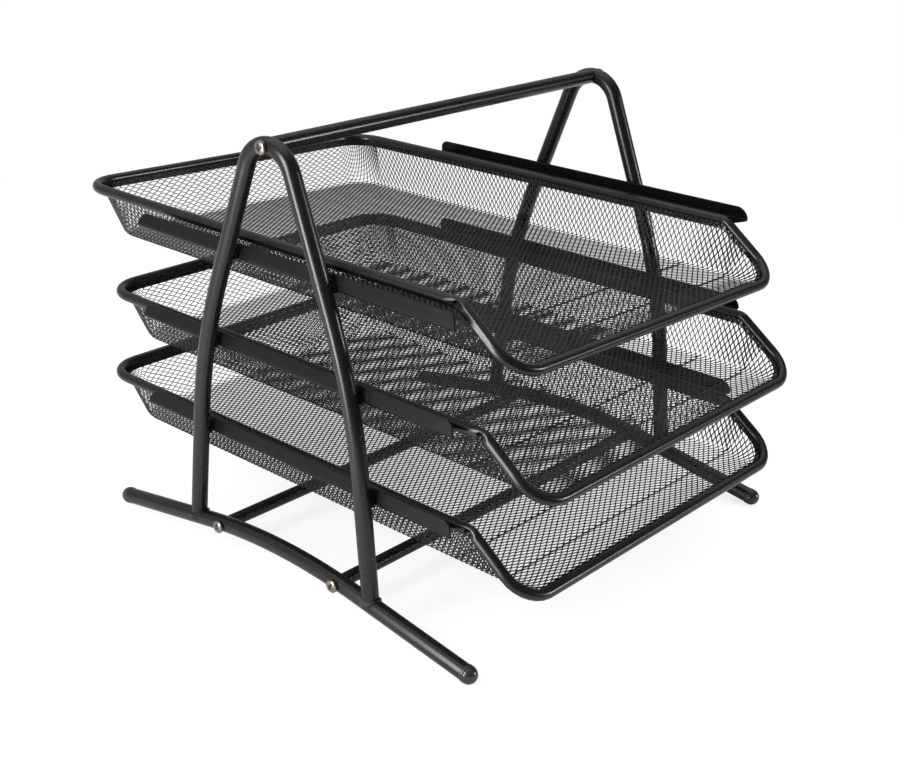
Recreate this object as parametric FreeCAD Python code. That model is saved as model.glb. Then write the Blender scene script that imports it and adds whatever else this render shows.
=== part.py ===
import FreeCAD
import Part
import math
import os

# A letter tray stack. Two side frames, each one bent tube standing on an arched foot tube, are
# tied together by a handle bar and two crossbars. Pairs of angle rails welded inside the legs
# carry three loose mesh trays, which slide out to the front.
# Millimetres. +X is to the right, -Y to the front, +Z up. The origin lies on the floor, below
# the middle of the whole stack with its trays.

# Side frames: the bend radii and heights are those of the tube's centre line
frame_spacing = 287.2        # between the centre planes of the left and right frame
frame_tube = 10.0
frame_wall = 1.0
frame_height = 266.0         # floor to the centre line at the apex
apex_bend = 19.4
upper_leg_splay = 21.1       # degrees from upright
knee_height = 136.0
knee_bend = 350.0
lower_leg_splay = 6.0        # degrees from upright

# Feet and their end caps
foot_length = 309.0          # over the domed caps
foot_slope = 9.15            # degrees, at both ends
foot_bend = 408.0
cap_diameter = 10.6
cap_skirt = 2.4              # straight part of the cap, outside the tube
cap_flat = 0.3               # depth of the flat on which a cap stands
cap_plug = 9.0

# Bars between the frames
handle_tube = 9.0
crossbar_tube = 8.0
bar_wall = 1.0
crossbar_spacing = 100.8
cope_gap = 0.05

# Screws from outside into threaded inserts in the bar ends
screw_diameter = 4.0
screw_grip = 9.0             # length of thread inside the insert
screw_head = 8.0
screw_head_height = 2.6
screw_head_edge = 1.17       # height at which the dome begins
screw_dome_shoulder = (2.29, 2.48)   # a point on the dome: height and distance from the axis
screw_clearance = 0.3        # on the radius, in the frame tube
thread_gap = 0.05
recess_width = 1.1
recess_span = 4.6
recess_depth = 1.5
insert_length = 12.0
insert_setback = 0.5

# Rails: a leaning flange on the leg side, and a shelf that falls towards the tray
rail_length = 258.0
rail_sheet = 1.2
rail_flange = 8.7
rail_flange_lean = 2.5
rail_shelf = 15.0
rail_shelf_fall = 4.2
rail_fold = 0.8              # inner bend radius
rail_corner = 7.0            # rounded upper corners of the flange
rail_shelf_bevel = 18.0      # length over which a shelf's end is cut back
bottom_rail_height = 76.5
rail_pitch = 58.5

# Welds
leg_bead = 1.3
rail_bead = 1.5
rail_bead_height = 4.0

# Trays: the rim is a rolled tube of sheet metal with a hem that holds the mesh
tray_width = 256.0
tray_length = 370.0
rim_tube = 6.4
rim_sheet = 0.6
rim_rear_bend = 22.0
rim_front_bend = 19.0
rim_kink_bend = 6.0
lip_drop = 28.9              # rim to front lip, both at the tube's centre line
lip_reach = 38.8             # kink to front lip
rim_seat_gap = 0.3
mesh_inset = 3.4             # rim centre line to the mesh's outer face
mesh_below_rim = 1.0
mesh_above_lip = 1.0
mesh_sheet = 0.8
openings_across = 9          # a coarse grid in the basket's floor stands for the fine mesh
openings_along = 12
opening_bar = 6.0            # left standing between two openings
opening_margin = 6.0         # from the floor's edges to the grid
opening_wall_foot = 4.0      # from the floor up to the openings in the walls
opening_wall_head = 3.0      # from those openings up to the hem
hem_height = 7.5
hem_gap = 0.75
floor_width = 229.0
floor_depth = 30.0
floor_rear_inset = 16.0
floor_front_inset = 20.0
floor_rear_bend = 20.0
floor_front_bend = 12.0

# Rest places of the trays: how far each one's middle lies behind the stand's middle
tray_setback = {"bottom": 10.2, "middle": 3.7, "top": 22.0}
top_tray_roll = 1.94         # degrees: the top tray's left rim rides above its rail

levels = ("bottom", "middle", "top")
sides = {"left": -1, "right": 1}
ends = {"front": -1, "rear": 1}

# ---------------------------------------------------------------- worked-out sizes

stand_mid = -(tray_setback["top"] + tray_setback["middle"]) / 2
frame_x = frame_spacing / 2
frame_radius = frame_tube / 2
cap_radius = cap_diameter / 2
rim_radius = rim_tube / 2
rim_half_width = tray_width / 2 - rim_radius
rim_half_length = tray_length / 2 - rim_radius
kink_y = lip_reach - rim_half_length
rail_x = frame_x - frame_radius


def degrees_tan(angle):
    return math.tan(math.radians(angle))


def degrees_sin(angle):
    return math.sin(math.radians(angle))


def degrees_cos(angle):
    return math.cos(math.radians(angle))


def point(x, y, z):
    return FreeCAD.Vector(x, y, z)


# ---------------------------------------------------------------- bent tubes


def bend_at(before, corner, after, radius):
    """Start, middle and end of the round bend at a corner, and its centre."""
    back = (before - corner).normalize()
    ahead = (after - corner).normalize()
    half_turn = back.getAngle(ahead) / 2
    start = corner + back * (radius / math.tan(half_turn))
    end = corner + ahead * (radius / math.tan(half_turn))
    inward = (back + ahead).normalize()
    centre = corner + inward * (radius / math.sin(half_turn))
    return start, centre - inward * radius, end, centre


def rod_between(start, end, radius):
    return Part.makeCylinder(radius, (end - start).Length, start, end - start)


def rod_round(start, end, centre, radius):
    """A round rod along the arc from start to end about centre."""
    axis = (start - centre).cross(end - centre)
    turn = math.degrees((start - centre).getAngle(end - centre))
    heading = axis.cross(start - centre)
    section = Part.Face(Part.Wire(Part.makeCircle(radius, start, heading)))
    return section.revolve(centre, axis, turn)


def bent_rod(corners, bends, radius, closed=False):
    """A solid rod through the corners; bends holds the bend radius at each of them."""
    count = len(corners)
    runs = []
    pieces = []
    for i, corner in enumerate(corners):
        if not closed and i in (0, count - 1):
            runs.append((corner, corner))
            continue
        start, _, end, centre = bend_at(corners[i - 1], corner, corners[(i + 1) % count], bends[i])
        pieces.append(rod_round(start, end, centre, radius))
        runs.append((start, end))
    for i in range(count if closed else count - 1):
        pieces.append(rod_between(runs[i][1], runs[(i + 1) % count][0], radius))
    return pieces[0].fuse(pieces[1:]).removeSplitter()


def drill(x, y, z, radius, length):
    """A rod along X, centred on the point."""
    return Part.makeCylinder(radius, length, point(x - length / 2, y, z), point(1, 0, 0))


# ---------------------------------------------------------------- feet

cap_y = foot_length / 2 - cap_radius
cap_z = cap_radius - cap_flat
foot_crest = cap_z + cap_y * degrees_tan(foot_slope)
foot_top = foot_crest - foot_bend * (1 / degrees_cos(foot_slope) - 1)


def foot_height(y):
    """Height of a foot's centre line, y from the stand's middle."""
    if abs(y) > foot_bend * degrees_sin(foot_slope):
        return cap_z + (cap_y - abs(y)) * degrees_tan(foot_slope)
    return foot_top - foot_bend + math.sqrt(foot_bend**2 - y**2)


def foot_end(side, end):
    """Where a foot tube stops and its cap's skirt begins."""
    back = cap_skirt * degrees_cos(foot_slope)
    rise = cap_skirt * degrees_sin(foot_slope)
    return point(side * frame_x, stand_mid + end * (cap_y - back), cap_z + rise)


def foot_rod(side, radius):
    crest = point(side * frame_x, stand_mid, foot_crest)
    return bent_rod([foot_end(side, -1), crest, foot_end(side, 1)], [0, foot_bend, 0], radius)


def foot_cap(side, end):
    """A plug in the tube, a skirt as wide as the tube's outside and a domed end with a flat."""
    dome = point(side * frame_x, stand_mid + end * cap_y, cap_z)
    seam = foot_end(side, end)
    inside = seam + (seam - dome).normalize() * cap_plug
    cap = Part.makeSphere(cap_radius, dome, dome - seam, 0, 90, 360)
    cap = cap.fuse(rod_between(seam, dome, cap_radius))
    cap = cap.fuse(rod_between(inside, seam, frame_radius - frame_wall)).removeSplitter()
    floor = Part.makeBox(4 * cap_radius, 4 * cap_radius, cap_radius)
    floor.translate(dome - point(2 * cap_radius, 2 * cap_radius, cap_z + cap_radius))
    return cap.cut(floor)


# ---------------------------------------------------------------- side frames

apex_corner = frame_height - apex_bend + apex_bend / degrees_sin(upper_leg_splay)
knee_y = (apex_corner - knee_height) * degrees_tan(upper_leg_splay)


def leg_foot_y():
    """Where a leg's centre line meets the foot's, y from the stand's middle."""
    y = knee_y
    for _ in range(20):
        y = knee_y + (knee_height - foot_height(y)) * degrees_tan(lower_leg_splay)
    return y


def frame_rod(side, radius):
    x = side * frame_x
    tip_y = leg_foot_y()
    corners = [
        point(x, stand_mid - tip_y, foot_height(tip_y)),
        point(x, stand_mid - knee_y, knee_height),
        point(x, stand_mid, apex_corner),
        point(x, stand_mid + knee_y, knee_height),
        point(x, stand_mid + tip_y, foot_height(tip_y)),
    ]
    return bent_rod(corners, [0, knee_bend, apex_bend, knee_bend, 0], radius)


# Each bar: name, y from the stand's middle, height and tube diameter
crossbar_y = crossbar_spacing / 2
bars = {
    "handle_bar": (0.0, frame_height, handle_tube),
    "front_crossbar": (-crossbar_y, foot_height(crossbar_y), crossbar_tube),
    "rear_crossbar": (crossbar_y, foot_height(crossbar_y), crossbar_tube),
}


def screw_holes():
    """Clearance holes along X through the frames and feet, one for each bar."""
    radius = screw_diameter / 2 + screw_clearance
    reach = frame_spacing + 2 * frame_tube
    return [drill(0, stand_mid + y, z, radius, reach) for y, z, _ in bars.values()]


def side_frame(side):
    tube = frame_rod(side, frame_radius).cut(frame_rod(side, frame_radius - frame_wall))
    return tube.cut([foot_rod(side, frame_radius + cope_gap)] + screw_holes())


def foot_tube(side):
    tube = foot_rod(side, frame_radius).cut(foot_rod(side, frame_radius - frame_wall))
    return tube.cut(screw_holes())


def bar(y, z, diameter):
    """A tube along X whose ends are coped round the frames and feet."""
    outside = drill(0, stand_mid + y, z, diameter / 2, frame_spacing)
    tube = outside.cut(drill(0, stand_mid + y, z, diameter / 2 - bar_wall, frame_spacing))
    cope = frame_radius + cope_gap
    for side in sides.values():
        tube = tube.cut([frame_rod(side, cope), foot_rod(side, cope)])
    return max(tube.Solids, key=lambda solid: solid.Volume)


# ---------------------------------------------------------------- screws and inserts


def threaded_insert(side, y, z, diameter):
    mouth = frame_x - frame_radius - insert_setback
    middle = side * (mouth - insert_length / 2)
    plug = drill(middle, stand_mid + y, z, diameter / 2 - bar_wall, insert_length)
    return plug.cut(drill(middle, stand_mid + y, z, screw_diameter / 2 + thread_gap, insert_length))


def pan_head_screw(side, y, z):
    """A shank along X with a low domed head and a cross recess."""
    seat = frame_x + frame_radius
    tip = frame_x - frame_radius - insert_setback - screw_grip
    head_radius = screw_head / 2
    edge = screw_head_edge
    shoulder, out = screw_dome_shoulder
    profile = [
        Part.makeLine(point(tip, 0, 0), point(tip, 0, screw_diameter / 2)),
        Part.makeLine(point(tip, 0, screw_diameter / 2), point(seat, 0, screw_diameter / 2)),
        Part.makeLine(point(seat, 0, screw_diameter / 2), point(seat, 0, head_radius)),
        Part.makeLine(point(seat, 0, head_radius), point(seat + edge, 0, head_radius)),
        Part.Arc(
            point(seat + edge, 0, head_radius),
            point(seat + shoulder, 0, out),
            point(seat + screw_head_height, 0, 0),
        ).toShape(),
        Part.makeLine(point(seat + screw_head_height, 0, 0), point(tip, 0, 0)),
    ]
    screw = Part.Face(Part.Wire(profile)).revolve(point(0, 0, 0), point(1, 0, 0), 360)
    for wide, tall in ((recess_width, recess_span), (recess_span, recess_width)):
        slot = Part.makeBox(recess_depth + 1, wide, tall)
        slot.translate(point(seat + screw_head_height - recess_depth, -wide / 2, -tall / 2))
        screw = screw.cut(slot)
    if side < 0:
        screw = screw.mirror(point(0, 0, 0), point(1, 0, 0))
    screw.translate(point(0, stand_mid + y, z))
    return screw


# ---------------------------------------------------------------- rails


flange_length = math.hypot(rail_flange, rail_flange_lean)
shelf_length = math.hypot(rail_shelf, rail_shelf_fall)
up_flange = point(-rail_flange_lean, 0, rail_flange) / flange_length
along_shelf = point(-rail_shelf, 0, -rail_shelf_fall) / shelf_length
across_flange = point(-rail_flange, 0, -rail_flange_lean) / flange_length
across_shelf = point(-rail_shelf_fall, 0, rail_shelf) / shelf_length


def rail_corners(inward):
    """Top edge, fold and shelf edge of a right rail's section, moved inward by a distance."""
    fold = point(rail_x, 0, 0)
    half_corner = up_flange.getAngle(along_shelf) / 2
    bisector = (up_flange + along_shelf).normalize()
    return [
        fold + up_flange * flange_length + across_flange * inward,
        fold + bisector * (inward / math.sin(half_corner)),
        fold + along_shelf * shelf_length + across_shelf * inward,
    ]


def edges_along_y(shape, place):
    """The edges that run along Y through the place."""
    line = Part.makeLine(place - point(0, 0.1, 0), place + point(0, 0.1, 0))
    near = [edge for edge in shape.Edges if edge.distToShape(line)[0] < 0.001]
    return [edge for edge in near if abs(edge.tangentAt(edge.FirstParameter).y) > 0.99]


def end_silhouette():
    """The flange seen from the side, with rounded upper corners, as a block across the rail."""
    half = rail_length / 2
    low = -rail_shelf_fall - rail_sheet
    corner = rail_corner * (1 - math.sqrt(0.5))
    top = rail_flange
    outline = [
        Part.makeLine(point(0, -half, top - rail_corner), point(0, -half, low)),
        Part.makeLine(point(0, -half, low), point(0, half, low)),
        Part.makeLine(point(0, half, low), point(0, half, top - rail_corner)),
        Part.Arc(
            point(0, half, top - rail_corner),
            point(0, half - corner, top - corner),
            point(0, half - rail_corner, top),
        ).toShape(),
        Part.makeLine(point(0, half - rail_corner, top), point(0, rail_corner - half, top)),
        Part.Arc(
            point(0, rail_corner - half, top),
            point(0, corner - half, top - corner),
            point(0, -half, top - rail_corner),
        ).toShape(),
    ]
    return Part.Face(Part.Wire(outline)).extrude(point(2 * frame_x, 0, 0))


def shelf_bevel(end):
    """The triangle cut from a shelf's end, which lets a tray's falling rim past."""
    half = end * rail_length / 2
    tip = rail_corners(rail_sheet)[2].x - 1
    root = rail_corners(rail_sheet)[1].x
    outline = Part.makePolygon([
        point(tip, half + end, 0),
        point(root, half + end, 0),
        point(root, half, 0),
        point(tip, half - end * rail_shelf_bevel, 0),
        point(tip, half + end, 0),
    ])
    depth = rail_shelf_fall + 2 * rail_sheet
    bevel = Part.Face(outline).extrude(point(0, 0, -depth))
    bevel.translate(point(0, 0, rail_corners(rail_sheet)[1].z))
    return bevel


def rail(side, height):
    outer = rail_corners(0)
    inner = rail_corners(rail_sheet)
    section = Part.Face(Part.makePolygon(outer + inner[::-1] + outer[:1]))
    section.translate(point(0, -rail_length / 2, 0))
    sheet = section.extrude(point(0, rail_length, 0))
    sheet = sheet.makeFillet(rail_fold + rail_sheet, edges_along_y(sheet, outer[1]))
    sheet = sheet.makeFillet(rail_fold, edges_along_y(sheet, inner[1]))
    sheet = sheet.common(end_silhouette()).cut([shelf_bevel(end) for end in ends.values()])
    if side < 0:
        sheet = sheet.mirror(point(0, 0, 0), point(1, 0, 0))
    sheet.translate(point(0, stand_mid, height))
    return sheet


rail_heights = {level: bottom_rail_height + i * rail_pitch for i, level in enumerate(levels)}

# ---------------------------------------------------------------- welds


def leg_weld(side, end):
    """A bead round the joint of a leg and its foot."""
    frame_solid = frame_rod(side, frame_radius + cope_gap)
    foot_solid = foot_rod(side, frame_radius + cope_gap)
    bead = frame_rod(side, frame_radius + leg_bead).common(foot_rod(side, frame_radius + leg_bead))
    half = Part.makeBox(2 * frame_tube, foot_length / 2, frame_height)
    rear_edge = stand_mid + min(end, 0) * foot_length / 2
    half.translate(point(side * frame_x - frame_tube, rear_edge, 0))
    return bead.common(half).cut([frame_solid, foot_solid])


def rail_welds(side, level):
    """The beads between a rail's flange and both legs that it crosses."""
    lean = rail_flange_lean * rail_bead_height / rail_flange
    slab = Part.makeBox(lean + rail_bead, rail_length, rail_bead_height)
    slab.translate(point(rail_x - lean, stand_mid - rail_length / 2, rail_heights[level]))
    if side < 0:
        slab = slab.mirror(point(0, 0, 0), point(1, 0, 0))
    bead = slab.common(frame_rod(side, frame_radius + rail_bead))
    return bead.cut([frame_rod(side, frame_radius), rail(side, rail_heights[level])]).Solids


# ---------------------------------------------------------------- trays, each about its own rim


def side_points(half_width, rear, front, kink, side_z, front_z):
    """The six corners of a loop round a tray, from the rear left on, clockwise from above."""
    return [
        point(-half_width, rear, side_z),
        point(half_width, rear, side_z),
        point(half_width, kink, side_z),
        point(half_width, front, front_z),
        point(-half_width, front, front_z),
        point(-half_width, kink, side_z),
    ]


def rim_rod(radius):
    corners = side_points(rim_half_width, rim_half_length, -rim_half_length, kink_y, 0, -lip_drop)
    bends = [rim_rear_bend] * 2 + [rim_kink_bend] + [rim_front_bend] * 2 + [rim_kink_bend]
    return bent_rod(corners, bends, radius, closed=True)


def between(start, end, share):
    return start + (end - start) * share


def mesh_ring(share, out, up=0.0):
    """The edges of a loop in the mesh, a share of the way from rim to floor.

    out moves the loop outward and up lifts it. Every loop has the same edges in the same order.
    """
    edge = rim_half_length - mesh_inset
    corners = side_points(
        between(rim_half_width - mesh_inset, floor_width / 2, share) + out,
        between(edge, rim_half_length - floor_rear_inset, share) + out,
        between(-edge, floor_front_inset - rim_half_length, share) - out,
        kink_y,
        between(-mesh_below_rim, -floor_depth, share) + up,
        between(mesh_above_lip - lip_drop, -floor_depth, share) + up,
    )
    rear = between(rim_rear_bend - mesh_inset, floor_rear_bend, share) + out
    front = between(rim_front_bend - mesh_inset, floor_front_bend, share) + out
    bends = [rear, rear, 0, front, front, 0]
    return rounded_loop(corners, bends)


def rounded_loop(corners, bends):
    count = len(corners)
    turns = []
    for i, corner in enumerate(corners):
        if bends[i]:
            turns.append(bend_at(corners[i - 1], corner, corners[(i + 1) % count], bends[i])[:3])
        else:
            turns.append((corner, None, corner))
    edges = []
    for i, (start, middle, end) in enumerate(turns):
        if middle:
            edges.append(Part.Arc(start, middle, end).toShape())
        edges.append(Part.makeLine(end, turns[(i + 1) % count][0]))
    return edges


def ruled_faces(first, second):
    return [Part.makeRuledSurface(a, b) for a, b in zip(first, second)]


def closed_solid(faces):
    skin = Part.makeCompound(faces)
    skin.sewShape()
    solid = Part.makeSolid(Part.makeShell(skin.Faces))
    if solid.Volume < 0:
        solid.reverse()
    return solid


def mesh_basket():
    """Floor, rear and side walls and the front apron, one sheet thick."""
    rim_outside = mesh_ring(0, 0)
    rim_inside = mesh_ring(0, -mesh_sheet)
    floor_outside = mesh_ring(1, 0)
    floor_inside = mesh_ring(1, -mesh_sheet, mesh_sheet)
    faces = ruled_faces(rim_outside, floor_outside) + ruled_faces(rim_inside, floor_inside)
    faces += ruled_faces(rim_outside, rim_inside)
    faces += [Part.Face(Part.Wire(floor_outside)), Part.Face(Part.Wire(floor_inside))]
    return closed_solid(faces).cut(basket_openings())


def grid_spans(first, last, count):
    """Start and end of each opening in a row of them."""
    pitch = (last - first) / count
    return [(first + i * pitch + opening_bar / 2, first + (i + 1) * pitch - opening_bar / 2)
            for i in range(count)]


def block(low, high):
    box = Part.makeBox(*(high - low))
    box.translate(low)
    return box


def basket_openings():
    """Blocks to cut from a basket's floor, its side walls behind the kink and its rear wall."""
    half_width = floor_width / 2
    rear = rim_half_length - floor_rear_inset
    front = floor_front_inset - rim_half_length
    across = grid_spans(opening_margin - half_width, half_width - opening_margin, openings_across)
    along = grid_spans(front + opening_margin, rear - opening_margin, openings_along)
    blocks = [block(point(x[0], y[0], -floor_depth - 1), point(x[1], y[1], -floor_depth + 1))
              for x in across for y in along]
    low = opening_wall_foot - floor_depth
    high = -mesh_below_rim - hem_height - opening_wall_head
    reach = rim_half_width
    blocks += [block(point(-reach, y[0], low), point(reach, y[1], high))
               for y in along if y[0] > kink_y + opening_bar and y[1] < rear - floor_rear_bend]
    corner = half_width - floor_rear_bend
    blocks += [block(point(x[0], rear - 1, low), point(x[1], rim_half_length, high))
               for x in across if max(abs(x[0]), abs(x[1])) < corner]
    return blocks


def hem():
    """The flat band of the rim that grips the mesh from outside."""
    depth = hem_height / floor_depth
    loops = [
        mesh_ring(0, hem_gap),
        mesh_ring(0, hem_gap + rim_sheet),
        mesh_ring(depth, hem_gap + rim_sheet),
        mesh_ring(depth, hem_gap),
    ]
    faces = []
    for i, loop in enumerate(loops):
        faces += ruled_faces(loops[i - 1], loop)
    return closed_solid(faces)


def tray_rim():
    tube = rim_rod(rim_radius).cut(rim_rod(rim_radius - rim_sheet))
    return tube.fuse(hem())


def seat_height():
    """How far a rim's centre line lies above the fold of the rail that it rests on."""
    fold = rail_corners(rail_sheet)[1]
    slope = rail_shelf_fall / rail_shelf
    surface = fold.z - (fold.x - rim_half_width) * slope
    return surface + (rim_radius + rim_seat_gap) / across_shelf.z


def placed(shape, level):
    """A tray's piece on its rails."""
    tray = shape.copy()
    height = rail_heights[level] + seat_height()
    tray.translate(point(0, stand_mid + tray_setback[level], height))
    if level == "top":
        tray.rotate(point(rim_half_width, 0, height), point(0, 1, 0), top_tray_roll)
    return tray


# ---------------------------------------------------------------- all the pieces

pieces = {}
for side_name, side in sides.items():
    pieces[f"{side_name}_frame_tube"] = side_frame(side)
    pieces[f"{side_name}_foot_tube"] = foot_tube(side)
    for end_name, end in ends.items():
        pieces[f"{side_name}_{end_name}_foot_cap"] = foot_cap(side, end)
    for level in levels:
        pieces[f"{side_name}_{level}_rail"] = rail(side, rail_heights[level])
for bar_name, place in bars.items():
    pieces[bar_name] = bar(*place)

pieces["threaded_inserts"] = Part.makeCompound(
    [threaded_insert(side, *place) for side in sides.values() for place in bars.values()])
pieces["frame_screws"] = Part.makeCompound(
    [pan_head_screw(side, y, z) for side in sides.values() for y, z, _ in bars.values()])
pieces["leg_welds"] = Part.makeCompound(
    [bead for side in sides.values() for end in ends.values() for bead in leg_weld(side, end).Solids])
pieces["rail_welds"] = Part.makeCompound(
    [bead for side in sides.values() for level in levels for bead in rail_welds(side, level)])

rim = tray_rim()
basket = mesh_basket()
for level in levels:
    pieces[f"{level}_tray_rim"] = placed(rim, level)
    pieces[f"{level}_tray_mesh"] = placed(basket, level)

os.makedirs("parts", exist_ok=True)
for name, shape in pieces.items():
    shape.exportStep(f"parts/{name}.step")
    print(f"{name}: {len(shape.Solids)} solids, {shape.Volume:.1f} mm3, valid {shape.isValid()}")
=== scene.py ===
import bpy
import bmesh
import math
import numpy as np
from mathutils import Matrix, Vector


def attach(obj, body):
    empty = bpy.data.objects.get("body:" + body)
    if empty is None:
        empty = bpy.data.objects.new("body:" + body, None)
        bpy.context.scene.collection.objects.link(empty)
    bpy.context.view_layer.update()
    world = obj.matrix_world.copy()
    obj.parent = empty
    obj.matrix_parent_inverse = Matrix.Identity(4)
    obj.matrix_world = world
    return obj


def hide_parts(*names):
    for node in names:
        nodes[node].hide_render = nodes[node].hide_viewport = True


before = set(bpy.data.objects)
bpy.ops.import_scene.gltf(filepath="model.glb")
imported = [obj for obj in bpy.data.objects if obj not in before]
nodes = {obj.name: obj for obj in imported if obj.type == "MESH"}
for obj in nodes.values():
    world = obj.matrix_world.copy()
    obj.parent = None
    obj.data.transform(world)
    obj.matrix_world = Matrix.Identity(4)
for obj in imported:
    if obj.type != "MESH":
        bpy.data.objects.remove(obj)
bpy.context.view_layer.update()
print("frame loaded,", len(nodes), "nodes")

levels = ("bottom", "middle", "top")
sides = {"left": -1, "right": 1}

# node trees


class Socket:  # an output socket that takes part in plain expressions
    def __init__(self, tree, output):
        self.tree, self.output = tree, output

    def maths(self, operation, other, turned=False):
        pair = (other, self) if turned else (self, other)
        return self.tree.add(
            "ShaderNodeMath", {"operation": operation}, {0: pair[0], 1: pair[1]})

    def __add__(self, other):
        return self.maths("ADD", other)

    def __radd__(self, other):
        return self.maths("ADD", other, True)

    def __sub__(self, other):
        return self.maths("SUBTRACT", other)

    def __rsub__(self, other):
        return self.maths("SUBTRACT", other, True)

    def __mul__(self, other):
        return self.maths("MULTIPLY", other)

    def __rmul__(self, other):
        return self.maths("MULTIPLY", other, True)

    def above(self, level):
        return self.maths("GREATER_THAN", level)


class Tree:  # a node tree with one way to add a node
    def __init__(self, tree):
        self.tree = tree
        tree.nodes.clear()

    def add(self, kind, settings=None, values=None, output=0):
        node = self.tree.nodes.new(kind)
        for name, value in (settings or {}).items():
            setattr(node, name, value)
        for name, value in (values or {}).items():
            if isinstance(value, Socket):
                self.tree.links.new(value.output, node.inputs[name])
            else:
                node.inputs[name].default_value = value
        return Socket(self, node.outputs[output]) if node.outputs else node

    def named(self, name, kind):  # an attribute of the geometry
        return self.add("GeometryNodeInputNamedAttribute", {"data_type": kind}, {"Name": name})

    def blend(self, factor, first, second):  # a colour between two
        colours = [c if isinstance(c, Socket) else (*c, 1) for c in (first, second)]
        return self.add("ShaderNodeMix", {"data_type": "RGBA"}, {
            "Factor": factor, 6: colours[0], 7: colours[1]}, 2)


def newMaterial(name):
    material = bpy.data.materials.new(name)
    material.use_nodes = True
    return material, Tree(material.node_tree)


# finishes

powder = {
    "peelScale": 1100,     # orange peel of the baked powder, per metre
    "peelHeight": 0.000018,
    "grainSpread": 0.05,   # how far the peel changes the roughness
    "cloudScale": 38,
    "fleckScale": 420, "fleckSize": 0.09, "fleckFrom": 0.42,
    "fleck": (0.09, 0.088, 0.085), "fleckShare": 0.35,
}
coats = {  # darkest and lightest tone, roughness and its spread, peel strength, specular level
    "frameCoat": ((0.0030, 0.0030, 0.0033), (0.0065, 0.0063, 0.0062), 0.27, 0.05, 0.16, 0.5),
    "railCoat": ((0.0035, 0.0035, 0.0036), (0.0070, 0.0068, 0.0066), 0.33, 0.06, 0.20, 0.18),
    "rimCoat": ((0.0035, 0.0035, 0.0035), (0.0070, 0.0068, 0.0066), 0.28, 0.05, 0.14, 0.5),
    "meshCoat": ((0.0050, 0.0046, 0.0042), (0.0100, 0.0092, 0.0084), 0.30, 0.06, 0.10, 0.5),
}


def powderCoat(name):
    dark, light, roughness, spread, peel, shine = coats[name]
    material, tree = newMaterial(name)
    place = tree.add("ShaderNodeTexCoord", output="Object")
    cloud = tree.add("ShaderNodeTexNoise", None, {
        "Vector": place, "Scale": powder["cloudScale"], "Detail": 4.0, "Roughness": 0.6})
    grain = tree.add("ShaderNodeTexNoise", None, {
        "Vector": place, "Scale": powder["peelScale"], "Detail": 2.0, "Roughness": 0.5})
    fleck = tree.add("ShaderNodeTexVoronoi", {"feature": "F1"}, {
        "Vector": place, "Scale": powder["fleckScale"], "Randomness": 1.0})
    dust = (powder["fleckSize"] - fleck).above(0.0) * (cloud - powder["fleckFrom"]).above(0.0)
    tone = tree.blend(dust * powder["fleckShare"], tree.blend(cloud, dark, light), powder["fleck"])
    bump = tree.add("ShaderNodeBump", None, {
        "Strength": peel, "Distance": powder["peelHeight"], "Height": grain})
    rough = roughness + spread * (cloud - 0.5) + powder["grainSpread"] * (grain - 0.5)
    shader = tree.add("ShaderNodeBsdfPrincipled", None, {
        "Base Color": tone, "Roughness": rough, "Normal": bump, "Specular IOR Level": shine})
    tree.add("ShaderNodeOutputMaterial", None, {"Surface": shader})
    return material


plastic = {
    "cloudScale": 260, "bump": 0.12, "bumpHeight": 0.00008,
    "dark": (0.010, 0.010, 0.011), "light": (0.022, 0.021, 0.021),
    "roughness": 0.16, "spread": 0.12, "shine": 0.55,
}


def mouldedPlastic(name):
    material, tree = newMaterial(name)
    place = tree.add("ShaderNodeTexCoord", output="Object")
    cloud = tree.add("ShaderNodeTexNoise", None, {
        "Vector": place, "Scale": plastic["cloudScale"], "Detail": 3.0})
    bump = tree.add("ShaderNodeBump", None, {
        "Strength": plastic["bump"], "Distance": plastic["bumpHeight"], "Height": cloud})
    shader = tree.add("ShaderNodeBsdfPrincipled", None, {
        "Base Color": tree.blend(cloud, plastic["dark"], plastic["light"]),
        "Roughness": plastic["roughness"] + plastic["spread"] * cloud, "Normal": bump,
        "Specular IOR Level": plastic["shine"]})
    tree.add("ShaderNodeOutputMaterial", None, {"Surface": shader})
    return material


plating = {
    "cloudScale": 520, "scratchScale": (400, 2600, 400), "scratchShare": 0.5,
    "bump": 0.25, "bumpHeight": 0.00005,
    # painted shade in the screw's cross recess: its near-black tone, its share, and how far it
    # dulls the metal
    "recessShade": (0.02, 0.018, 0.016), "recessShadeShare": 0.85, "recessShadeDulls": 0.4, "scratchSpread": 0.2,
    # darkest and lightest tone, roughness
    "screwSteel": ((0.20, 0.17, 0.15), (0.38, 0.34, 0.30), 0.36),
    "insertSteel": ((0.42, 0.41, 0.38), (0.60, 0.59, 0.55), 0.42),
}


def platedSteel(name):
    dark, light, roughness = plating[name]
    material, tree = newMaterial(name)
    place = tree.add("ShaderNodeTexCoord", output="Object")
    cloud = tree.add("ShaderNodeTexNoise", None, {
        "Vector": place, "Scale": plating["cloudScale"], "Detail": 4.0, "Roughness": 0.65})
    stretched = tree.add("ShaderNodeMapping", None, {
        "Vector": place, "Scale": plating["scratchScale"]})
    scratch = tree.add("ShaderNodeTexNoise", None, {
        "Vector": stretched, "Scale": 1.0, "Detail": 2.0})
    # painted shade: inside the cross recess the steel is blended towards near black and made less
    # metallic
    recessShade = tree.add("ShaderNodeAttribute", {"attribute_name": "recess"}, None, 2)
    clean = tree.blend(cloud, dark, light)
    bump = tree.add("ShaderNodeBump", None, {
        "Strength": plating["bump"], "Distance": plating["bumpHeight"],
        "Height": cloud + plating["scratchShare"] * scratch})
    shader = tree.add("ShaderNodeBsdfPrincipled", None, {
        "Base Color": tree.blend(recessShade * plating["recessShadeShare"], clean, plating["recessShade"]),
        "Metallic": 1.0 - plating["recessShadeDulls"] * recessShade,
        "Roughness": roughness + plating["scratchSpread"] * (scratch - 0.5), "Normal": bump})
    tree.add("ShaderNodeOutputMaterial", None, {"Surface": shader})
    return material


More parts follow.
